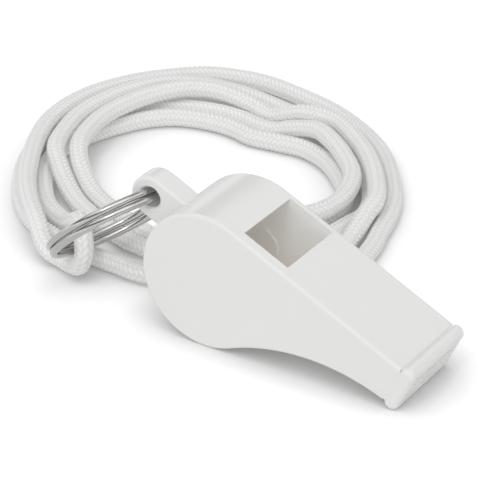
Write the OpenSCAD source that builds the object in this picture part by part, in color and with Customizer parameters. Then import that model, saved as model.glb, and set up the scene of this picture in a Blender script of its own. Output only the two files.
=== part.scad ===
/* [Drum] */
// Outside diameter of the round sound chamber
drum_d = 22; // [18:0.5:28]
// Width of the whistle across its two flat sides
body_w = 15.3; // [13:0.1:20]
// Thickness of the curved chamber wall
wall_t = 1.3; // [0.8:0.1:2]
// Thickness of the flat side moulded in one with the body
side_t = 1.2; // [0.8:0.1:2]
// Thickness of the flat cover that closes the other side
cover_t = 1.8; // [1:0.1:2.4]
// Rounding of the outer edges of both sides
edge_r = 0.5; // [0.3:0.1:1]

/* [Mouthpiece] */
// Distance from the drum's axis to the back of the lip
mouth_len = 31.75; // [28:0.25:38]
// Radius of the hollow curve under the mouthpiece
belly_r = 34; // [26:1:50]
// How far the hollow curve ends below the lower lip bead's centre
notch_drop = 0.45; // [0.2:0.05:1]
// Distance from the drum's axis to the edge that splits the air
window_x = 1.4; // [0.5:0.1:2]
// Length of the slope that thins that edge from below
blade_len = 2.4; // [1.5:0.1:3]
// Thickness left at that edge
blade_t = 0.3; // [0.2:0.05:0.6]
// Length of the sound window along the top
window_len = 8.2; // [6:0.1:9]
// Height of the windway
slot_h = 1.2; // [1:0.1:2.2]
// Thickness of the roof over the windway
roof_t = 1.3; // [0.8:0.1:2]

/* [Lip] */
// Radius of the two beads of the bite lip
lip_r = 1.2; // [0.8:0.1:1.5]
// How far the upper bead stands above the top face
lip_rise = 0.7; // [0.3:0.1:1]
// Distance between the centres of the two beads
lip_span = 5.8; // [5:0.1:7]
// Gap between the beads and the end of the mouthpiece
lip_set = 0.05; // [0.02:0.01:0.2]
// Depth of the dished front between the beads
lip_dish = 0.05; // [0.05:0.05:0.5]
// Rounding of the lip's ends
lip_edge = 0.8; // [0.3:0.1:1]
// Hollow rounding between the top face and the upper bead
lip_blend = 0.6; // [0.3:0.1:1]

/* [Ring lug] */
// Distance of the lug's hole behind the drum's axis
lug_reach = 14.8; // [14:0.1:18]
// Height of the lug's hole over the drum's axis
lug_z = 2.4; // [0:0.1:5]
// Radius of the lug's round head
lug_r = 3.4; // [3:0.1:4.5]
// Thickness of the lug
lug_t = 4; // [3:0.1:4.2]
// Sideways offset of the lug from the middle of the width
lug_shift = -1.4; // [-2:0.1:2]
// Rounding of the lug's edges
lug_edge = 0.5; // [0.2:0.1:1]
// Diameter of the lug's hole
hole_d = 3.4; // [3.2:0.1:4]
// Bevel at both mouths of the hole
hole_bevel = 0.3; // [0.1:0.05:0.5]

/* [Split ring] */
// Diameter of the spring wire
wire_d = 1.1; // [0.9:0.05:1.2]
// Gap between the two turns
turn_gap = 0.1; // [0.05:0.01:0.15]
// Diameter of the ring at the middle of its wire
ring_d = 21.2; // [20:0.2:24]
// Angle by which the hanging ring dips below level
ring_dip = 42.1; // [41:0.1:44]
// Angle by which the ring is turned sideways in the hole
ring_turn = 12.1; // [10:0.1:13]

/* [Pea] */
// Diameter of the cork pea
pea_d = 9.5; // [7:0.1:10]
// Gap left under the pea
pea_gap = 0.15; // [0.1:0.05:0.5]

/* [Lanyard] */
// Diameter of the braided cord
cord_d = 3; // [2.4:0.1:3]
// Length of the crimp sleeve
sleeve_len = 7; // [5:0.5:10]
// Wall of the crimp sleeve
sleeve_t = 0.5; // [0.3:0.05:0.5]
// Clearance between the cord and the sleeve's bores
sleeve_gap = 0.05; // [0.02:0.01:0.1]

/* [Hidden] */
$fn = 96;

// Overrun of every cut past the face that it opens
over = 1;
drum_r = drum_d / 2;
chamber_r = drum_r - wall_t;
far_y = body_w / 2;
near_y = -far_y;
seam_y = near_y + cover_t;
inner_y = far_y - side_t;
inner_mid_y = (seam_y + inner_y) / 2;

// Lip beads: one line for both, the upper one proud of the top face
bead_x = mouth_len + lip_set + lip_r;
bead_top_z = drum_r + lip_rise - lip_r;
bead_low_z = bead_top_z - lip_span;
blend_z = drum_r + lip_blend;
blend_reach = lip_r + lip_blend;
blend_c = [bead_x - sqrt(blend_reach * blend_reach - (blend_z - bead_top_z) * (blend_z - bead_top_z)), blend_z];
blend_a = atan2(blend_z - bead_top_z, bead_x - blend_c[0]);
slot_top_z = drum_r - roof_t;
slot_z = slot_top_z - slot_h;

// A core just under the skin joins the drum and the mouthpiece
core_gap = 0.01;

// The hollow curve touches the drum and ends at the notch behind the lower bead
notch = [mouth_len, bead_low_z - notch_drop];
notch_l = norm(notch);
belly_reach = drum_r + belly_r;
belly_along = (belly_reach * belly_reach - belly_r * belly_r + notch_l * notch_l) / 2 / notch_l;
belly_across = sqrt(belly_reach * belly_reach - belly_along * belly_along);
belly_c = (belly_along * notch + belly_across * [notch[1], -notch[0]]) / notch_l;
belly_a = atan2(-belly_c[1], belly_c[0]);

// The whistle rests on the drum and on the lower bead
bead_reach = norm([bead_x, bead_low_z]);
rest_a = asin((drum_r - lip_r) / bead_reach) + atan2(bead_low_z, bead_x);
function rest(x, z) = [x * cos(rest_a) + z * sin(rest_a), drum_r - x * sin(rest_a) + z * cos(rest_a)];

lug_near = lug_shift - lug_t / 2;
lug_far = lug_shift + lug_t / 2;
lug_top_z = lug_z + lug_r;
lug_root_x = wall_t / 2 - sqrt(drum_r * drum_r - lug_top_z * lug_top_z);
hole_r = hole_d / 2;
hole_at = rest(-lug_reach, lug_z);

// Ring plane: out is the way from the hole to the ring's middle, flat its normal
ring_r = ring_d / 2;
wire_r = wire_d / 2;
turn_off = (wire_d + turn_gap) / 2;
ring_out = [-cos(ring_dip), 0, -sin(ring_dip)];
ring_up = [-sin(ring_dip), 0, cos(ring_dip)];
ring_flat = ring_up * cos(ring_turn) + [0, sin(ring_turn), 0];
ring_side = [0, cos(ring_turn), 0] - ring_up * sin(ring_turn);
ring_mid = [hole_at[0], lug_shift, hole_at[1]] + ring_r * ring_out;
function ring_half(k) = ring_r * sqrt(1 - ring_flat[k] * ring_flat[k]) + wire_r + turn_off * abs(ring_flat[k]);

// The two turns change places in a short joggle beside the lug
joggle_at = 115;
joggle_w = 30;
end_back = 17;
ring_step = 7.5;
function joggle(b) = let (t = max(0, min(1, (b - joggle_at - 360) / joggle_w + 1 / 2))) turn_off * (2 * t * t * (3 - 2 * t) - 1);
function ring_point(b) = ring_mid + ring_r * (ring_out * cos(b) + ring_side * sin(b)) + ring_flat * joggle(b);
ring_a0 = joggle_at + end_back;
ring_steps = floor((720 - 2 * end_back) / ring_step);
ring_points = [for (i = [0:ring_steps]) ring_point(ring_a0 + i * ring_step)];

// The origin is the middle of the whistle and its ring, on the table
lip_front_x = rest(bead_x, bead_top_z)[0] + lip_r;
left_x = min(ring_mid[0] - ring_half(0), -drum_r);
low_y = min(ring_mid[1] - ring_half(1), near_y);
high_y = max(ring_mid[1] + ring_half(1), far_y);
shift = [-(left_x + lip_front_x) / 2, -(low_y + high_y) / 2, 0];

// Raised mould ring on the inside of the far wall
mark_x = window_x - wall_t / 2;
mark_share = 0.32;
mark_r = chamber_r * mark_share;
mark_w = side_t / 2.4;
mark_h = side_t / 6;

// Cord route from the sleeve and back, as laps round the coil's middle: angle, radius, height
cord_r = cord_d / 2;
coil_mid = [-28.5, 35.5];
end_a = [[0.15, 20.7, 2.1], [0.15, 23.7, 2.1], [0.15, 26.8, 2.1], [0.15, 30, 1.8], [0.25, 33.2, 1.5]];
laps_a = [
    [3, 29.4, 1.5], [16, 28, 1.5], [30, 26.1, 1.5], [45, 24.7, 1.5], [60, 24.4, 1.5], [75, 25, 1.5],
    [92, 25.8, 1.5], [107, 27.4, 2], [122, 28.5, 3], [137, 28.2, 4.2], [150, 26.8, 4.9], [165, 25.9, 5],
    [180, 25.4, 5], [-165, 24.8, 5], [-151, 24.7, 4.9], [-140, 23.8, 3.8], [-130, 23.2, 2.5], [-120, 23, 1.7],
    [-108, 23.2, 1.5], [-92, 24.6, 1.5], [-78, 26.5, 1.5], [-63, 28.3, 1.5], [-50, 29.2, 2], [-38, 28.1, 4],
    [-25, 26.3, 5], [-12, 26.8, 5], [0, 26.5, 4.9], [15, 25, 4.9], [30, 22.8, 4.9], [45, 21.4, 4.9],
    [60, 20.8, 4.4], [75, 19.4, 2.8], [84, 18.6, 1.7], [92, 18.4, 1.5], [107, 20.2, 1.5], [122, 22.1, 1.5],
    [137, 24.1, 1.5], [150, 25.7, 1.5], [165, 27.8, 1.5], [178, 29.2, 1.5], [-170, 29.9, 1.5], [-155, 29.9, 1.5],
    [-140, 30.2, 1.5], [-128, 31, 1.5], [-116, 31.8, 1.5], [-104, 32, 1.5], [-92, 32.2, 1.5], [-82, 32.8, 1.5],
    [-72, 34.2, 1.5], [-60, 33.8, 1.5], [-50, 33.3, 1.5], [-40, 36.8, 1.5], [-32, 39.6, 1.5], [-25, 40, 1.5],
    [-17, 37.9, 1.5], [-9, 35.8, 1.5], [-3, 34.2, 1.5], [4, 33.2, 1.5], [15, 31.9, 1.5], [30, 30.4, 1.5],
    [45, 29.9, 1.5], [60, 29.8, 1.5], [77, 30.6, 1.5], [93, 32, 1.5], [107, 33.8, 1.8], [122, 33.8, 2.6],
    [137, 32, 3.4], [150, 30.5, 4.2], [165, 29.5, 4.8], [178, 29, 5], [-170, 28.7, 5], [-155, 28.3, 5],
    [-140, 28.8, 5], [-128, 30.2, 5], [-117, 32, 5], [-107, 34.2, 4.7]
];
bight = [
    [-34.2, -0.2, 2.4], [-31.2, -0.4, 1.6], [-28.8, -1.1, 1.7], [-26.6, -2.2, 2.9], [-25.6, -2.4, 5.2],
    [-26.4, -1.3, 7.5], [-28.6, 1, 8.3], [-31.4, 3.8, 6.4], [-34.4, 6.8, 3.7]
];
laps_b = [
    [-110, 27.8, 1.6], [-122, 27.6, 1.5], [-138, 26.6, 1.5], [-155, 26.2, 1.5], [-168, 25.3, 1.5], [180, 23.8, 1.5],
    [165, 22.4, 1.5], [150, 21.5, 1.5], [137, 20.3, 1.5], [122, 18.2, 1.5], [107, 16.3, 1.5], [92, 14.7, 1.5],
    [75, 15.8, 1.5], [60, 18.2, 1.5], [45, 20.1, 1.5], [30, 21.8, 1.5], [15, 24, 1.5], [0, 25.1, 1.5],
    [-12, 25, 1.5], [-25, 25.2, 1.5], [-38, 25.6, 1.5], [-50, 25.3, 1.5], [-63, 24.6, 1.5], [-78, 22.7, 1.5],
    [-92, 20.7, 1.5], [-108, 19.5, 1.5], [-124, 19.5, 1.7], [-135, 19.9, 2.6], [-145, 20.6, 4], [-156, 21.1, 4.9],
    [-170, 21.3, 5], [175, 21.9, 5], [160, 22.5, 5], [145, 23.4, 5], [130, 24.2, 4.9], [118, 24.3, 4.1],
    [105, 23.5, 2.7], [93, 22, 2.1], [84, 22.1, 3.4], [76, 22.7, 4.5], [60, 24.5, 5.1], [45, 25.1, 5.1],
    [30, 26.6, 5.1], [15, 28.9, 5], [3, 31.4, 4.9]
];
end_b = [[3.3, 33.5, 4.3], [3.5, 30, 3], [3.65, 26.8, 2.15], [3.65, 23.7, 2.1], [3.65, 20.7, 2.1]];
function lap_points(t) = [for (q = t) [coil_mid[0] + q[1] * cos(q[0]), coil_mid[1] + q[1] * sin(q[0]), q[2]]];
cord_points = concat(end_a, lap_points(laps_a), bight, lap_points(laps_b), end_b);
cord_sides = 8;
wire_sides = 12;

// Least gap of the cord to itself, between each point or midpoint and every stretch further along
skip = 5;
function stretch_gap(p, a, b) =
    let (ab = b - a, t = max(0, min(1, (p - a) * ab / (ab * ab)))) norm(p - a - t * ab);
cord_last = len(cord_points) - 1;
cord_gaps = [
    for (i = [0:cord_last - 1], j = [0:cord_last - 1])
        if (abs(i - j) >= skip)
            min(
                stretch_gap(cord_points[i], cord_points[j], cord_points[j + 1]),
                stretch_gap((cord_points[i] + cord_points[i + 1]) / 2, cord_points[j], cord_points[j + 1])
            )
];
cord_steps = [for (i = [0:cord_last - 1]) norm(cord_points[i + 1] - cord_points[i])];
function total(v) = [for (i = 0, s = 0; i <= len(v); s = s + (i < len(v) ? v[i] : 0), i = i + 1) s][len(v)];
echo(cord_rings = cord_last + 1, cord_length = total(cord_steps), cord_least_gap = min(cord_gaps) - cord_d);
echo(shift = shift, rest_angle = rest_a, hole = hole_at, ring_middle = ring_mid);

sleeve_a = end_a[0];
sleeve_b = end_b[len(end_b) - 1];
sleeve_bore_r = cord_r + sleeve_gap;
sleeve_r = sleeve_bore_r + sleeve_t;

// Points of a quarter turn of radius r about c, from angle a on
arc_steps = 6;
function quarter(c, r, a) = [for (i = [0:arc_steps]) c + r * [cos(a + 90 * i / arc_steps), sin(a + 90 * i / arc_steps)]];

function unit(v) = v / norm(v);
function square_to(u, t) = unit(u - (u * t) * t);

// Round tube swept along the points, its rings carried along without twist
module tube(points, r, sides) {
    last = len(points) - 1;
    along = [for (i = [0:last]) unit(points[min(i + 1, last)] - points[max(i - 1, 0)])];
    first = square_to(abs(along[0][2]) < 1 / 2 ? [0, 0, 1] : [1, 0, 0], along[0]);
    across = [for (i = 0, u = first; i <= last; i = i + 1, u = square_to(u, along[min(i, last)])) u];
    skin = [
        for (i = [0:last], k = [0:sides - 1])
            points[i] + r * (across[i] * cos(360 * k / sides) + cross(along[i], across[i]) * sin(360 * k / sides))
    ];
    walls = [
        for (i = [0:last - 1], k = [0:sides - 1])
            let (a = i * sides + k, b = i * sides + (k + 1) % sides)
                each [[a, a + sides, b + sides], [a, b + sides, b]]
    ];
    caps = [
        for (k = [1:sides - 2])
            each [[0, k, k + 1], [last * sides, last * sides + k + 1, last * sides + k]]
    ];
    polyhedron(points = skin, faces = concat(walls, caps), convexity = 12);
}

// Flat outline in x and z, made into a plate from y0 to y1
module plate(y0, y1) {
    translate([0, y1, 0]) rotate([90, 0, 0]) linear_extrude(height = y1 - y0) children();
}

// Round body about the y axis, from a section in radius and y
module turned(section, angle, start) {
    rotate([-90, 0, 0]) rotate([0, 0, start]) rotate_extrude(angle = angle) polygon(section);
}

module posed() {
    translate(shift + [0, 0, drum_r]) rotate([0, rest_a, 0]) children();
}

// One side of the whistle's outline, w thick from y = 0, with its outer edge rounded
module flank(w) {
    turned(
        concat([[0, 0], [drum_r, 0]], quarter([drum_r - edge_r, w - edge_r], edge_r, 0), [[0, w]]),
        270 - belly_a,
        belly_a
    );
    turned(
        concat(
            [[0, 0], [drum_r - core_gap, 0]],
            quarter([drum_r - edge_r, w - edge_r], edge_r - core_gap, 0),
            [[0, w - core_gap]]
        ),
        360,
        0
    );
    difference() {
        intersection() {
            rotate([90, 0, 90]) linear_extrude(height = mouth_len)
                polygon(concat(
                    [[0, -mouth_len], [w, -mouth_len]],
                    quarter([w - edge_r, drum_r - edge_r], edge_r, 0),
                    [[0, drum_r]]
                ));
            plate(0, w)
                polygon([[0, 0], [0, drum_r], [mouth_len, drum_r], [mouth_len, -mouth_len * tan(belly_a)]]);
        }
        translate([belly_c[0], 0, belly_c[1]])
            turned(
                concat(
                    [[0, -over], [belly_r, -over]],
                    [for (i = [arc_steps:-1:0]) quarter([belly_r + edge_r, w - edge_r], edge_r, 90)[i]],
                    [[belly_r + edge_r, w + over], [0, w + over]]
                ),
                360,
                0
            );
    }
}

module bead(z) {
    translate([bead_x, near_y, z])
        turned(
            concat(
                [[0, 0]],
                quarter([lip_r - lip_edge, lip_edge], lip_edge, 270),
                quarter([lip_r - lip_edge, body_w - lip_edge], lip_edge, 0),
                [[0, body_w]]
            ),
            360,
            0
        );
}

module lip() {
    bead(bead_top_z);
    bead(bead_low_z);
    web_x = bead_x + lip_r - lip_dish;
    root_x = mouth_len - lip_r;
    translate([0, 0, bead_low_z]) linear_extrude(height = lip_span)
        polygon(concat(
            [[mouth_len, near_y]],
            quarter([web_x - lip_edge, near_y + lip_edge], lip_edge, 270),
            quarter([web_x - lip_edge, far_y - lip_edge], lip_edge, 0),
            [[mouth_len, far_y], [mouth_len, far_y - lip_edge], [root_x, far_y - lip_edge]],
            [[root_x, seam_y + lip_edge], [mouth_len, seam_y + lip_edge]]
        ));
    lip_fill(blend_c[0], seam_y, far_y - lip_edge);
    lip_fill(mouth_len, near_y + edge_r, seam_y + lip_edge);
}

// Hollow rounding behind the upper bead, which over the cover starts at the cover's end
module lip_fill(x0, y0, y1) {
    plate(y0, y1)
        polygon(concat(
            [[bead_x, bead_top_z], [x0, bead_top_z]],
            [
                for (i = [0:arc_steps])
                    let (a = 270 + i * (90 - blend_a) / arc_steps)
                        [max(x0, blend_c[0] + lip_blend * cos(a)), blend_c[1] + lip_blend * sin(a)]
            ]
        ));
}

module lug() {
    translate([-lug_reach, lug_near, lug_z])
        turned(
            concat(
                [[0, 0]],
                quarter([lug_r - lug_edge, lug_edge], lug_edge, 270),
                quarter([lug_r - lug_edge, lug_t - lug_edge], lug_edge, 0),
                [[0, lug_t]]
            ),
            180,
            90
        );
    translate([-lug_reach, 0, lug_z]) rotate([90, 0, 90]) linear_extrude(height = lug_reach + lug_root_x)
        polygon(concat(
            quarter([lug_far - lug_edge, lug_r - lug_edge], lug_edge, 0),
            quarter([lug_near + lug_edge, lug_r - lug_edge], lug_edge, 90),
            quarter([lug_near + lug_edge, lug_edge - lug_r], lug_edge, 180),
            quarter([lug_far - lug_edge, lug_edge - lug_r], lug_edge, 270)
        ));
}

module lug_hole() {
    turned(
        [
            [0, lug_near - over], [hole_r + hole_bevel + over, lug_near - over], [hole_r, lug_near + hole_bevel],
            [hole_r, lug_far - hole_bevel], [hole_r + hole_bevel + over, lug_far + over], [0, lug_far + over]
        ],
        360,
        0
    );
}

// The hollow inside: chamber, sound window and windway, around the raised mould ring
module air_space() {
    difference() {
        union() {
            translate([0, seam_y - over, 0]) rotate([-90, 0, 0])
                cylinder(r = chamber_r, h = inner_y - seam_y + over);
            plate(seam_y, inner_y)
                polygon([
                    [window_x - blade_len, 0], [window_x + window_len, 0], [window_x + window_len, slot_z],
                    [bead_x + lip_r + over, slot_z], [bead_x + lip_r + over, slot_top_z],
                    [window_x + window_len, slot_top_z], [window_x + window_len, drum_r + over],
                    [window_x, drum_r + over], [window_x, drum_r - blade_t],
                    [window_x - blade_len, chamber_r - blade_t]
                ]);
        }
        translate([mark_x, inner_y - mark_h, 0])
            turned(
                [
                    [mark_r - mark_w / 2, 0], [mark_r + mark_w / 2, 0],
                    [mark_r + mark_w / 2, mark_h + over], [mark_r - mark_w / 2, mark_h + over]
                ],
                360,
                0
            );
    }
}

module whistle_body() {
    color([0.93, 0.93, 0.92]) posed() difference() {
        union() {
            translate([0, seam_y, 0]) flank(body_w - cover_t);
            lip();
            lug();
        }
        air_space();
        translate([-lug_reach, 0, lug_z]) lug_hole();
    }
}

module side_cover() {
    color([0.93, 0.93, 0.92]) posed()
        translate([0, seam_y, 0]) mirror([0, 1, 0]) flank(cover_t);
}

module pea() {
    color([0.72, 0.53, 0.35])
        translate(shift + [0, inner_mid_y, wall_t + pea_gap + pea_d / 2]) sphere(d = pea_d);
}

module split_ring() {
    color([0.75, 0.74, 0.72]) translate(shift) tube(ring_points, wire_r, wire_sides);
}

module lanyard() {
    color([0.95, 0.95, 0.94]) translate(shift) tube(cord_points, cord_r, cord_sides);
}

module lanyard_ferrule() {
    color([0.75, 0.74, 0.72]) translate(shift) difference() {
        translate([0, sleeve_a[1] + sleeve_len / 2, 0]) rotate([90, 0, 0]) linear_extrude(height = sleeve_len)
            polygon(concat(
                quarter([sleeve_b[0], sleeve_b[2]], sleeve_r, 270),
                quarter([sleeve_b[0], sleeve_b[2]], sleeve_r, 0),
                quarter([sleeve_a[0], sleeve_a[2]], sleeve_r, 90),
                quarter([sleeve_a[0], sleeve_a[2]], sleeve_r, 180)
            ));
        for (p = [sleeve_a, sleeve_b])
            translate([p[0], p[1] - sleeve_len / 2 - over, p[2]]) rotate([-90, 0, 0])
                cylinder(r = sleeve_bore_r, h = sleeve_len + 2 * over);
    }
}

whistle_body();
side_cover();
pea();
split_ring();
lanyard();
lanyard_ferrule();
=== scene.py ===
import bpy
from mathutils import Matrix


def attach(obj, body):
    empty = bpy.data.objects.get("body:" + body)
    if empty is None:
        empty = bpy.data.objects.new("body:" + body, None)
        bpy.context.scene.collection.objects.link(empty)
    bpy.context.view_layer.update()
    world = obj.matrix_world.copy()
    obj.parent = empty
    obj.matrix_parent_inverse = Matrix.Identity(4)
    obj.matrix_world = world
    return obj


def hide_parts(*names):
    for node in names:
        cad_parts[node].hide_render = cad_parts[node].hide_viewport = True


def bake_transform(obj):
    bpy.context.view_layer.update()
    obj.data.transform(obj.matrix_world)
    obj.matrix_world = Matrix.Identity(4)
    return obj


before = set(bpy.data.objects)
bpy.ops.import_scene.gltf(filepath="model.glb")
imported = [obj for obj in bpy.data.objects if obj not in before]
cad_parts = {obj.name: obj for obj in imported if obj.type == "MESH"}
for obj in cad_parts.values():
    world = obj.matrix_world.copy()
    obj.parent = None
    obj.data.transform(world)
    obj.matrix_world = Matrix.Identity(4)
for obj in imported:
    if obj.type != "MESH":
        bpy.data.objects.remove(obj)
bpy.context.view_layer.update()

import math

import bpy
import numpy as np
from mathutils import Vector

MM = 0.001

# Places, in mm from the drum's axis on the table
ROW_SHIFT = np.array([-3.1738, 1.4, 0.0])
LUG_SHIFT = -1.4
RING_HOLE = np.array([-12.369, LUG_SHIFT, 19.474])
DRUM_R = 11.0
REST_ANGLE = math.radians(25.2035)


def row(points):
    """Points in mm from the drum's axis, as points of the row frame in metres."""
    return (np.asarray(points, float) + ROW_SHIFT) * MM


# Camera
VIEW_TARGET = row([-12.941, 21.966, 0.0])
VIEW_TURN, VIEW_LIFT = math.radians(33.111), math.radians(29.681)
VIEW_DISTANCE = 441.082 * MM
PHOTO_SIDE = 480
FOCAL_PIXELS = 2786.083
SENSOR = 36.0
NEAREST, FARTHEST = 0.01, 20


def make_camera():
    lens = bpy.data.cameras.new("photo_camera")
    lens.sensor_width = SENSOR
    lens.lens = FOCAL_PIXELS / PHOTO_SIDE * SENSOR
    lens.clip_start, lens.clip_end = NEAREST, FARTHEST
    camera = bpy.data.objects.new("photo_camera", lens)
    back = Vector((
        math.sin(VIEW_TURN) * math.cos(VIEW_LIFT),
        -math.cos(VIEW_TURN) * math.cos(VIEW_LIFT),
        math.sin(VIEW_LIFT),
    ))
    camera.location = Vector(VIEW_TARGET) + back * VIEW_DISTANCE
    camera.rotation_euler = (-back).to_track_quat("-Z", "Y").to_euler()
    bpy.context.scene.collection.objects.link(camera)
    bpy.context.scene.camera = camera


make_camera()

# Shader helpers


def new_material(name):
    material = bpy.data.materials.new(name)
    material.use_nodes = True
    nodes = material.node_tree.nodes
    shader = nodes["Principled BSDF"]
    return material, nodes, material.node_tree.links, shader


def mix_colour(nodes, links, factor, low, high):
    mix = nodes.new("ShaderNodeMix")
    mix.data_type = "RGBA"
    mix.inputs["A"].default_value = (*low, 1)
    mix.inputs["B"].default_value = (*high, 1)
    links.new(factor, mix.inputs["Factor"])
    return mix.outputs["Result"]


def group(name, inputs, output, kind="NodeSocketFloat"):
    """An empty shader node group with float inputs and one output."""
    tree = bpy.data.node_groups.new(name, "ShaderNodeTree")
    for label, value in inputs:
        socket = tree.interface.new_socket(label, in_out="INPUT", socket_type="NodeSocketFloat")
        socket.default_value = value
    tree.interface.new_socket(output, in_out="OUTPUT", socket_type=kind)
    return tree, tree.nodes.new("NodeGroupInput"), tree.nodes.new("NodeGroupOutput")


GRAIN_DETAIL = 3


def grain_group():
    """Fine uneven height of a moulded or plated surface, from two noises of a given size in mm."""
    sockets = [("Fine size mm", 0.5), ("Broad size mm", 4.0), ("Broad share", 0.5)]
    tree, given, out = group("surface_grain", sockets, "Height")
    place = tree.nodes.new("ShaderNodeTexCoord")
    heights = []
    for label in ("Fine size mm", "Broad size mm"):
        scale = tree.nodes.new("ShaderNodeMath")
        scale.operation = "DIVIDE"
        scale.inputs[0].default_value = 1 / MM
        tree.links.new(given.outputs[label], scale.inputs[1])
        noise = tree.nodes.new("ShaderNodeTexNoise")
        noise.inputs["Detail"].default_value = GRAIN_DETAIL
        tree.links.new(place.outputs["Object"], noise.inputs["Vector"])
        tree.links.new(scale.outputs[0], noise.inputs["Scale"])
        heights.append(noise.outputs["Fac"])
    mix = tree.nodes.new("ShaderNodeMix")
    tree.links.new(given.outputs["Broad share"], mix.inputs["Factor"])
    tree.links.new(heights[0], mix.inputs["A"])
    tree.links.new(heights[1], mix.inputs["B"])
    tree.links.new(mix.outputs["Result"], out.inputs["Height"])
    return tree


GRAIN = grain_group()


def add_grain(nodes, fine, broad, share):
    node = nodes.new("ShaderNodeGroup")
    node.node_tree = GRAIN
    node.inputs["Fine size mm"].default_value = fine
    node.inputs["Broad size mm"].default_value = broad
    node.inputs["Broad share"].default_value = share
    return node.outputs["Height"]


# The hollows in the whistle's own frame, in mm from the drum's axis: the shaft under the window, and the windway
SHAFT_X, SHAFT_Z = (-1.1, 9.7), (0, 10.9)
WINDWAY_FROM, WINDWAY_Z = 9.0, (8.45, 9.75)


def painted_light_mask_group():
    """One on the walls of the chamber, window and windway, where the plastic gets painted light (a paler colour for
    light through its thin walls), nought outside, in mm of the whistle's own frame.
    """
    sockets = [("Chamber radius mm", 10.0), ("Near side mm", -5.9), ("Far side mm", 6.5)]
    tree, given, out = group("hollow_painted_light_mask", sockets, "Mask")
    links = tree.links
    place = tree.nodes.new("ShaderNodeTexCoord")

    def number(operation, *values):
        node = tree.nodes.new("ShaderNodeMath")
        node.operation = operation
        for socket, value in zip(node.inputs, values):
            if isinstance(value, (int, float)):
                socket.default_value = value
            else:
                links.new(value, socket)
        return node.outputs[0]

    def along(way, start):
        dot = tree.nodes.new("ShaderNodeVectorMath")
        dot.operation = "DOT_PRODUCT"
        dot.inputs[1].default_value = [share / MM for share in way]
        links.new(place.outputs["Object"], dot.inputs[0])
        return number("SUBTRACT", dot.outputs["Value"], float(np.dot(way, start)))

    def between(value, low, high):
        return number("MULTIPLY", number("GREATER_THAN", value, low), number("LESS_THAN", value, high))

    axis = ROW_SHIFT + np.array([0, 0, DRUM_R])
    cosine, sine = math.cos(REST_ANGLE), math.sin(REST_ANGLE)
    x, y, z = along((cosine, 0, -sine), axis), along((0, 1, 0), axis), along((sine, 0, cosine), axis)
    reach = number("SQRT", number("ADD", number("MULTIPLY", x, x), number("MULTIPLY", z, z)))
    chamber = number("LESS_THAN", reach, given.outputs["Chamber radius mm"])
    shaft = number("MULTIPLY", between(x, *SHAFT_X), between(z, *SHAFT_Z))
    windway = number("MULTIPLY", number("GREATER_THAN", x, WINDWAY_FROM), between(z, *WINDWAY_Z))
    inside = number("MAXIMUM", chamber, number("MAXIMUM", shaft, windway))
    beside = between(y, given.outputs["Near side mm"], given.outputs["Far side mm"])
    links.new(number("MULTIPLY", inside, beside), out.inputs["Mask"])
    return tree


PAINTED_LIGHT_MASK = painted_light_mask_group()


def add_bump(nodes, links, shader, height, depth, strength=1.0):
    bump = nodes.new("ShaderNodeBump")
    bump.inputs["Distance"].default_value = depth
    bump.inputs["Strength"].default_value = strength
    links.new(height, bump.inputs["Height"])
    links.new(bump.outputs["Normal"], shader.inputs["Normal"])


PLASTIC_LOW, PLASTIC_HIGH = (0.83, 0.83, 0.82), (0.86, 0.86, 0.852)
# Painted light: the plastic inside the chamber, window and windway is painted nearly white, for light that comes
# through the thin walls
HOLLOW_PAINTED_LIGHT = (0.985, 0.985, 0.98)
NICKEL_LOW, NICKEL_HIGH = (0.50, 0.49, 0.48), (0.66, 0.655, 0.65)
CORK_LOW, CORK_HIGH = (0.78, 0.70, 0.57), (0.94, 0.89, 0.80)
# Painted shade: the yarn darkens towards the first colour in the braid's valleys, where shade falls between the yarns
YARN_VALLEY_SHADE, YARN_HIGH = (0.76, 0.76, 0.75), (0.985, 0.985, 0.98)


def white_plastic():
    material, nodes, links, shader = new_material("white_moulded_plastic")
    grain = add_grain(nodes, 0.9, 7.0, 0.6)
    outside = mix_colour(nodes, links, grain, PLASTIC_LOW, PLASTIC_HIGH)
    mask = nodes.new("ShaderNodeGroup")
    mask.node_tree = PAINTED_LIGHT_MASK
    # Painted light: the hollows are tinted towards near white where the mask is one
    painted_light_tint = nodes.new("ShaderNodeMix")
    painted_light_tint.data_type = "RGBA"
    painted_light_tint.inputs["B"].default_value = (*HOLLOW_PAINTED_LIGHT, 1)
    links.new(mask.outputs["Mask"], painted_light_tint.inputs["Factor"])
    links.new(outside, painted_light_tint.inputs["A"])
    links.new(painted_light_tint.outputs["Result"], shader.inputs["Base Color"])
    shader.inputs["Roughness"].default_value = 0.2
    shader.inputs["IOR"].default_value = 1.5
    shader.inputs["Subsurface Weight"].default_value = 0.08
    shader.inputs["Subsurface Radius"].default_value = (1, 1, 1)
    shader.inputs["Subsurface Scale"].default_value = 0.0005
    add_bump(nodes, links, shader, grain, 0.00002, 0.5)
    return material


def nickel():
    material, nodes, links, shader = new_material("nickel_wire")
    grain = add_grain(nodes, 0.25, 2.5, 0.5)
    links.new(mix_colour(nodes, links, grain, NICKEL_LOW, NICKEL_HIGH), shader.inputs["Base Color"])
    shader.inputs["Metallic"].default_value = 1
    shader.inputs["Roughness"].default_value = 0.2
    add_bump(nodes, links, shader, grain, 0.00003, 0.4)
    return material


def cork():
    material, nodes, links, shader = new_material("cork")
    grain = add_grain(nodes, 0.5, 1.8, 0.5)
    links.new(mix_colour(nodes, links, grain, CORK_LOW, CORK_HIGH), shader.inputs["Base Color"])
    shader.inputs["Roughness"].default_value = 0.85
    add_bump(nodes, links, shader, grain, 0.0003, 0.8)
    return material


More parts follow.
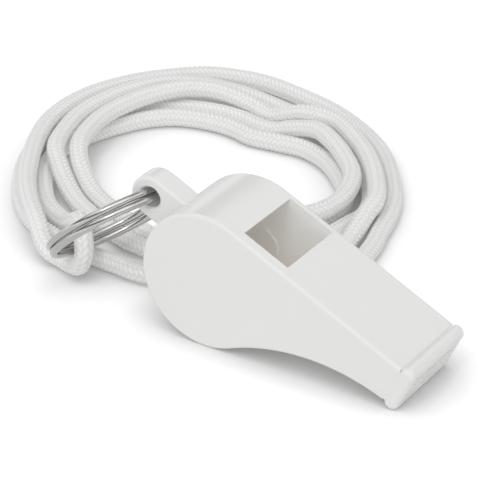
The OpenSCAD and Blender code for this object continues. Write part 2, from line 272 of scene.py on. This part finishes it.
def braided_yarn():
    material, nodes, links, shader = new_material("braided_yarn")
    depth = nodes.new("ShaderNodeAttribute")
    depth.attribute_name = "braid_height"
    grain = add_grain(nodes, 0.12, 0.7, 0.35)
    # Painted shade: colour by braid height, darker in the valleys between the yarns
    links.new(mix_colour(nodes, links, depth.outputs["Fac"], YARN_VALLEY_SHADE, YARN_HIGH), shader.inputs["Base Color"])
    shader.inputs["Roughness"].default_value = 0.72
    shader.inputs["Sheen Weight"].default_value = 0.15
    shader.inputs["Sheen Roughness"].default_value = 0.5
    add_bump(nodes, links, shader, grain, 0.00006, 0.5)
    return material


PLASTIC, NICKEL, CORK, YARN = white_plastic(), nickel(), cork(), braided_yarn()

# Lanyard
CORD_D = 3.0
COIL_MID = (-28.5, 35.5)
END_A = [(0.15, 20.7, 2.1), (0.15, 23.7, 2.1), (0.15, 26.8, 2.1), (0.15, 30, 1.8), (0.25, 33.2, 1.5)]
LAPS_A = [
    (3, 29.4, 1.5), (16, 28, 1.5), (30, 26.1, 1.5), (45, 24.7, 1.5), (60, 24.4, 1.5), (75, 25, 1.5),
    (92, 25.8, 1.5), (107, 27.4, 2), (122, 28.5, 3), (137, 28.2, 4.2), (150, 26.8, 4.9), (165, 25.9, 5),
    (180, 25.4, 5), (-165, 24.8, 5), (-151, 24.7, 4.9), (-140, 23.8, 3.8), (-130, 23.2, 2.5),
    (-120, 23, 1.7), (-108, 23.2, 1.5), (-92, 24.6, 1.5), (-78, 26.5, 1.5), (-63, 28.3, 1.5),
    (-50, 29.2, 2), (-38, 28.1, 4), (-25, 26.3, 5), (-12, 26.8, 5), (0, 26.5, 4.9), (15, 25, 4.9),
    (30, 22.8, 4.9), (45, 21.4, 4.9), (60, 20.8, 4.4), (75, 19.4, 2.8), (84, 18.6, 1.7), (92, 18.4, 1.5),
    (107, 20.2, 1.5), (122, 22.1, 1.5), (137, 24.1, 1.5), (150, 25.7, 1.5), (165, 27.8, 1.5),
    (178, 29.2, 1.5), (-170, 29.9, 1.5), (-155, 29.9, 1.5), (-140, 30.2, 1.5), (-128, 31, 1.5),
    (-116, 31.8, 1.5), (-104, 32, 1.5), (-92, 32.2, 1.5), (-82, 32.8, 1.5), (-72, 34.2, 1.5),
    (-60, 33.8, 1.5), (-50, 33.3, 1.5), (-40, 36.8, 1.5), (-32, 39.6, 1.5), (-25, 40, 1.5),
    (-17, 37.9, 1.5), (-9, 35.8, 1.5), (-3, 34.2, 1.5), (4, 33.2, 1.5), (15, 31.9, 1.5), (30, 30.4, 1.5),
    (45, 29.9, 1.5), (60, 29.8, 1.5), (77, 30.6, 1.5), (93, 32, 1.5), (107, 33.8, 1.8), (122, 33.8, 2.6),
    (137, 32, 3.4), (150, 30.5, 4.2), (165, 29.5, 4.8), (178, 29, 5), (-170, 28.7, 5), (-155, 28.3, 5),
    (-140, 28.8, 5), (-128, 30.2, 5), (-117, 32, 5), (-107, 34.2, 4.7),
]
BIGHT = [
    (-34.2, -0.2, 2.4), (-31.2, -0.4, 1.6), (-28.8, -1.1, 1.7), (-26.6, -2.2, 2.9), (-25.6, -2.4, 5.2),
    (-26.4, -1.3, 7.5), (-28.6, 1, 8.3), (-31.4, 3.8, 6.4), (-34.4, 6.8, 3.7),
]
LAPS_B = [
    (-110, 27.8, 1.6), (-122, 27.6, 1.5), (-138, 26.6, 1.5), (-155, 26.2, 1.5), (-168, 25.3, 1.5),
    (180, 23.8, 1.5), (165, 22.4, 1.5), (150, 21.5, 1.5), (137, 20.3, 1.5), (122, 18.2, 1.5),
    (107, 16.3, 1.5), (92, 14.7, 1.5), (75, 15.8, 1.5), (60, 18.2, 1.5), (45, 20.1, 1.5), (30, 21.8, 1.5),
    (15, 24, 1.5), (0, 25.1, 1.5), (-12, 25, 1.5), (-25, 25.2, 1.5), (-38, 25.6, 1.5), (-50, 25.3, 1.5),
    (-63, 24.6, 1.5), (-78, 22.7, 1.5), (-92, 20.7, 1.5), (-108, 19.5, 1.5), (-124, 19.5, 1.7),
    (-135, 19.9, 2.6), (-145, 20.6, 4), (-156, 21.1, 4.9), (-170, 21.3, 5), (175, 21.9, 5), (160, 22.5, 5),
    (145, 23.4, 5), (130, 24.2, 4.9), (118, 24.3, 4.1), (105, 23.5, 2.7), (93, 22, 2.1), (84, 22.1, 3.4),
    (76, 22.7, 4.5), (60, 24.5, 5.1), (45, 25.1, 5.1), (30, 26.6, 5.1), (15, 28.9, 5), (3, 31.4, 4.9),
]
END_B = [(3.3, 33.5, 4.3), (3.5, 30, 3), (3.65, 26.8, 2.15), (3.65, 23.7, 2.1), (3.65, 20.7, 2.1)]
# Stations of the coil on either side of the bight that go into the ring loop piece
LEG_STATIONS_A = 5
LEG_STATIONS_B = 4


def lap_points(table):
    return [
        (COIL_MID[0] + r * math.cos(math.radians(a)), COIL_MID[1] + r * math.sin(math.radians(a)), z)
        for a, r, z in table
    ]


CURVE_SAMPLES = 40


def smooth_line(stations, step):
    """A centripetal curve through the stations: points about step apart, and the distance at each point and station."""
    p = np.asarray(stations, float)
    p = np.vstack([2 * p[0] - p[1], p, 2 * p[-1] - p[-2]])
    fine, marks, run = [], [0.0], 0.0
    for k in range(1, len(p) - 2):
        p0, p1, p2, p3 = p[k - 1:k + 3]
        t1 = np.linalg.norm(p1 - p0) ** 0.5
        t2 = t1 + np.linalg.norm(p2 - p1) ** 0.5
        t3 = t2 + np.linalg.norm(p3 - p2) ** 0.5
        t = np.linspace(t1, t2, CURVE_SAMPLES)[:, None]
        a1 = (t1 - t) / t1 * p0 + t / t1 * p1
        a2 = (t2 - t) / (t2 - t1) * p1 + (t - t1) / (t2 - t1) * p2
        a3 = (t3 - t) / (t3 - t2) * p2 + (t - t2) / (t3 - t2) * p3
        b1 = (t2 - t) / t2 * a1 + t / t2 * a2
        b2 = (t3 - t) / (t3 - t1) * a2 + (t - t1) / (t3 - t1) * a3
        c = (t2 - t) / (t2 - t1) * b1 + (t - t1) / (t2 - t1) * b2
        run += np.linalg.norm(np.diff(c, axis=0), axis=1).sum()
        marks.append(run)
        fine.append(c if k == 1 else c[1:])
    fine = np.vstack(fine)
    along = np.concatenate([[0], np.cumsum(np.linalg.norm(np.diff(fine, axis=0), axis=1))])
    at = np.linspace(0, along[-1], round(along[-1] / step) + 1)
    return np.stack([np.interp(at, along, fine[:, k]) for k in range(3)], axis=1), at, marks


def carried_frames(line):
    """A tangent and a side direction at each point, carried along without twist."""
    tangent = np.gradient(line, axis=0)
    tangent /= np.linalg.norm(tangent, axis=1)[:, None]
    side = np.zeros_like(line)
    first = np.cross(tangent[0], [0, 0, 1.0])
    side[0] = first / np.linalg.norm(first)
    for k in range(1, len(line)):
        s = side[k - 1] - tangent[k] * (side[k - 1] @ tangent[k])
        side[k] = s / np.linalg.norm(s)
    return tangent, side


def swept_mesh(name, line, radii, tangent, side, closed_ends=True):
    """A tube along the line; radii has one row for each point and one column for each side."""
    rings, sides = radii.shape
    turn = np.arange(sides) * 2 * math.pi / sides
    up = np.cross(tangent, side)
    ring = side[:, None] * np.cos(turn)[None, :, None] + up[:, None] * np.sin(turn)[None, :, None]
    points = line[:, None] + ring * radii[:, :, None]
    base = np.arange(rings - 1)[:, None] * sides
    a = np.arange(sides)
    b = (a + 1) % sides
    quads = np.stack([base + a, base + b, base + sides + b, base + sides + a], axis=2).reshape(-1, 4)
    faces = quads.tolist()
    if closed_ends:
        faces.append(list(range(sides))[::-1])
        faces.append([(rings - 1) * sides + k for k in range(sides)])
    mesh = bpy.data.meshes.new(name)
    mesh.from_pydata(row(points.reshape(-1, 3)).tolist(), [], faces)
    mesh.shade_smooth()
    piece = bpy.data.objects.new(name, mesh)
    bpy.context.scene.collection.objects.link(piece)
    return piece


BRAID_ARMS = 8
BRAID_PROUD = 0.06
BRAID_PITCH = 0.85
BRAID_SLANT = 1.1
BRAID_DEPTH = 0.23
CORD_SIDES = 32
CORD_STEP = 0.16


def braid_heights(along, sides):
    """Height share of the braid at each distance and side: slanted yarns in eight columns, half a pitch apart."""
    turn = np.arange(sides) / sides * BRAID_ARMS
    arm = np.floor(turn)
    across = turn - arm
    leans = np.where(arm % 2 == 0, across, 1 - across)
    phase = along[:, None] / BRAID_PITCH + BRAID_SLANT * leans[None, :] + 0.5 * (arm % 2)[None, :]
    ridge = np.abs(np.sin(math.pi * phase))
    valley = np.sin(math.pi * np.clip(across, 0, 1)) ** 0.35
    return ridge ** 0.7 * (0.45 + 0.55 * valley[None, :])


def make_lanyard():
    stations = END_A + lap_points(LAPS_A) + BIGHT + lap_points(LAPS_B) + END_B
    line, along, marks = smooth_line(stations, CORD_STEP)
    tangent, side = carried_frames(line)
    heights = braid_heights(along, CORD_SIDES)
    radii = CORD_D / 2 + BRAID_PROUD + BRAID_DEPTH * (heights - 1)
    loop_from = len(END_A) + len(LAPS_A) - LEG_STATIONS_A
    loop_to = len(END_A) + len(LAPS_A) + len(BIGHT) + LEG_STATIONS_B - 1
    first = int(np.searchsorted(along, marks[loop_from]))
    last = int(np.searchsorted(along, marks[loop_to]))
    pieces = {}
    for name, a, b in (
        ("lanyard_long_coil", 0, first + 1),
        ("lanyard_ring_loop", first, last + 1),
        ("lanyard_short_coil", last, len(line)),
    ):
        piece = swept_mesh(name, line[a:b], radii[a:b], tangent[a:b], side[a:b])
        level = piece.data.attributes.new("braid_height", "FLOAT", "POINT")
        level.data.foreach_set("value", heights[a:b].ravel().astype(np.float32))
        piece.data.materials.append(YARN)
        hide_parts("lanyard")
        pieces[name] = (piece, row(line[a:b]), along[b - 1] - along[a])
    return pieces


lanyard = make_lanyard()
long_coil, long_path, long_length = lanyard["lanyard_long_coil"]
short_coil, short_path, short_length = lanyard["lanyard_short_coil"]
ring_loop, loop_path, loop_length = lanyard["lanyard_ring_loop"]
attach(long_coil, "whistle")
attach(short_coil, "whistle")
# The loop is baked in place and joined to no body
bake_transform(ring_loop)


# Split ring
WIRE_D, TURN_GAP, RING_R = 1.1, 0.1, 10.6
RING_DIP, RING_TURN = math.radians(42.1), math.radians(12.1)
# Degrees round the ring: where the wire crosses from turn to turn, over how much, and how far its ends stop short
JOGGLE_AT, JOGGLE_W, END_BACK = 115.0, 30.0, 17.0
RING_SIDES, RING_STEP = 24, 2.0
FLAT_MOST = 1.08
END_ROWS, END_SHARE = 1.5, 0.82


def make_split_ring():
    out = np.array([-math.cos(RING_DIP), 0, -math.sin(RING_DIP)])
    up = np.array([-math.sin(RING_DIP), 0, math.cos(RING_DIP)])
    y = np.array([0, 1.0, 0])
    flat = up * math.cos(RING_TURN) + y * math.sin(RING_TURN)
    across = y * math.cos(RING_TURN) - up * math.sin(RING_TURN)
    middle = RING_HOLE + RING_R * out
    turn = np.arange(JOGGLE_AT + END_BACK, JOGGLE_AT + 720 - END_BACK + 0.1, RING_STEP)
    t = np.clip((turn - JOGGLE_AT - 360) / JOGGLE_W + 0.5, 0, 1)
    lift = (WIRE_D + TURN_GAP) / 2 * (2 * t * t * (3 - 2 * t) - 1)
    rad = np.radians(turn)[:, None]
    line = middle + RING_R * (out * np.cos(rad) + across * np.sin(rad)) + flat * lift[:, None]
    tangent = np.gradient(line, axis=0)
    tangent /= np.linalg.norm(tangent, axis=1)[:, None]
    side = flat - tangent * (tangent @ flat)[:, None]
    side /= np.linalg.norm(side, axis=1)[:, None]
    angles = np.arange(RING_SIDES) * 2 * math.pi / RING_SIDES
    flatter = (np.abs(np.cos(angles)) ** 4 + np.abs(np.sin(angles)) ** 4) ** -0.25
    section = WIRE_D / 2 * np.minimum(flatter, FLAT_MOST)
    radii = np.tile(section, (len(line), 1))
    row_number = np.arange(len(line))
    ease = np.clip(np.minimum(row_number, row_number[::-1]) / END_ROWS, 0, 1)
    radii *= (END_SHARE + (1 - END_SHARE) * ease)[:, None]
    piece = swept_mesh("split_ring_wire", line, radii, tangent, side)
    piece.data.materials.append(NICKEL)
    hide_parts("split_ring")
    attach(piece, "ring")
    return piece


make_split_ring()

# CAD nodes that stay, with their finishes


def dress(node, material):
    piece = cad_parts[node]
    piece.data.materials.clear()
    piece.data.materials.append(material)


dress("whistle_body", PLASTIC)
dress("side_cover", PLASTIC)
dress("pea", CORK)
dress("lanyard_ferrule", NICKEL)

# Floor, backdrop and light
FLOOR_SIDE = 6.0
FLOOR_GREY = (0.9, 0.9, 0.9, 1)
WHITE = (1, 1, 1, 1)
# The shadow round what touches the floor, as the camera sees it: its reach, the share that is open, and the greys
SHADE_REACH, SHADE_OPEN, SHADE_DARK, SHADE_LIGHT = 0.009, 0.3, 0.75, 1.3
# The room is brightest towards this direction
BRIGHT_WAY = (0.30, -0.86, 0.40)
ROOM_FROM, ROOM_TO, ROOM_DIM, ROOM_BRIGHT = -0.2, 1.0, 0.54, 0.96
# Dark and bright bands of the room by height, which only reflections show
BAND_COUNT, BAND_FROM, BAND_TO, BAND_DARK, BAND_BRIGHT = 11.0, -0.5, 0.6, 0.12, 1.2
LIGHT_BOUNCES = 24


def make_floor():
    mesh = bpy.data.meshes.new("studio_floor")
    h = FLOOR_SIDE / 2
    mesh.from_pydata([(-h, -h, 0), (h, -h, 0), (h, h, 0), (-h, h, 0)], [], [(0, 1, 2, 3)])
    floor = bpy.data.objects.new("studio_floor", mesh)
    bpy.context.scene.collection.objects.link(floor)
    material = bpy.data.materials.new("white_floor")
    material.use_nodes = True
    nodes, links = material.node_tree.nodes, material.node_tree.links
    nodes.clear()
    out = nodes.new("ShaderNodeOutputMaterial")
    matt = nodes.new("ShaderNodeBsdfDiffuse")
    matt.inputs["Color"].default_value = FLOOR_GREY
    seen = nodes.new("ShaderNodeBsdfDiffuse")
    near = nodes.new("ShaderNodeAmbientOcclusion")
    near.inputs["Distance"].default_value = SHADE_REACH
    near.samples = 8
    shade = nodes.new("ShaderNodeMapRange")
    shade.inputs["From Min"].default_value = SHADE_OPEN
    shade.inputs["To Min"].default_value = SHADE_DARK
    shade.inputs["To Max"].default_value = SHADE_LIGHT
    links.new(near.outputs["AO"], shade.inputs["Value"])
    links.new(shade.outputs["Result"], seen.inputs["Color"])
    pick = nodes.new("ShaderNodeMixShader")
    rays = nodes.new("ShaderNodeLightPath")
    links.new(rays.outputs["Is Camera Ray"], pick.inputs["Fac"])
    links.new(matt.outputs[0], pick.inputs[1])
    links.new(seen.outputs[0], pick.inputs[2])
    links.new(pick.outputs[0], out.inputs["Surface"])
    mesh.materials.append(material)


def set_range(node, from_low, from_high, to_low, to_high):
    for label, value in (("From Min", from_low), ("From Max", from_high), ("To Min", to_low), ("To Max", to_high)):
        node.inputs[label].default_value = value


def make_world():
    world = bpy.data.worlds.new("white_room")
    bpy.context.scene.world = world
    world.use_nodes = True
    nodes, links = world.node_tree.nodes, world.node_tree.links
    nodes.clear()
    out = nodes.new("ShaderNodeOutputWorld")
    room = nodes.new("ShaderNodeBackground")
    room.inputs["Color"].default_value = WHITE
    way = nodes.new("ShaderNodeTexCoord")
    facing = nodes.new("ShaderNodeVectorMath")
    facing.operation = "DOT_PRODUCT"
    facing.inputs[1].default_value = BRIGHT_WAY
    level = nodes.new("ShaderNodeMapRange")
    set_range(level, ROOM_FROM, ROOM_TO, ROOM_DIM, ROOM_BRIGHT)
    links.new(way.outputs["Generated"], facing.inputs[0])
    links.new(facing.outputs["Value"], level.inputs["Value"])
    height = nodes.new("ShaderNodeSeparateXYZ")
    links.new(way.outputs["Generated"], height.inputs[0])
    band = nodes.new("ShaderNodeMath")
    band.operation = "MULTIPLY"
    band.inputs[1].default_value = BAND_COUNT
    links.new(height.outputs["Z"], band.inputs[0])
    wave = nodes.new("ShaderNodeMath")
    wave.operation = "SINE"
    links.new(band.outputs[0], wave.inputs[0])
    flags = nodes.new("ShaderNodeMapRange")
    set_range(flags, BAND_FROM, BAND_TO, BAND_DARK, BAND_BRIGHT)
    links.new(wave.outputs[0], flags.inputs["Value"])
    mirrored = nodes.new("ShaderNodeMix")
    rays = nodes.new("ShaderNodeLightPath")
    links.new(rays.outputs["Is Glossy Ray"], mirrored.inputs["Factor"])
    links.new(level.outputs["Result"], mirrored.inputs["A"])
    links.new(flags.outputs["Result"], mirrored.inputs["B"])
    links.new(mirrored.outputs["Result"], room.inputs["Strength"])
    white = nodes.new("ShaderNodeBackground")
    white.inputs["Color"].default_value = WHITE
    white.inputs["Strength"].default_value = 1.0
    pick = nodes.new("ShaderNodeMixShader")
    links.new(rays.outputs["Is Camera Ray"], pick.inputs["Fac"])
    links.new(room.outputs[0], pick.inputs[1])
    links.new(white.outputs[0], pick.inputs[2])
    links.new(pick.outputs[0], out.inputs["Surface"])


def make_lamp(name, place, aim, size, power):
    lamp = bpy.data.lights.new(name, "AREA")
    lamp.shape = "SQUARE"
    lamp.size = size
    lamp.energy = power
    holder = bpy.data.objects.new(name, lamp)
    holder.location = place
    holder.rotation_euler = (Vector(aim) - Vector(place)).to_track_quat("-Z", "Y").to_euler()
    bpy.context.scene.collection.objects.link(holder)


make_floor()
make_world()
make_lamp("top_softbox", (0.15, -0.25, 0.9), (0, 0.02, 0), 0.7, 1.3)
make_lamp("edge_strip", (0.10, -0.60, 0.70), (0, 0, 0.01), 0.12, 0.4)

bpy.context.scene.view_settings.view_transform = "Standard"
bpy.context.scene.cycles.max_bounces = LIGHT_BOUNCES
bpy.context.scene.cycles.diffuse_bounces = LIGHT_BOUNCES
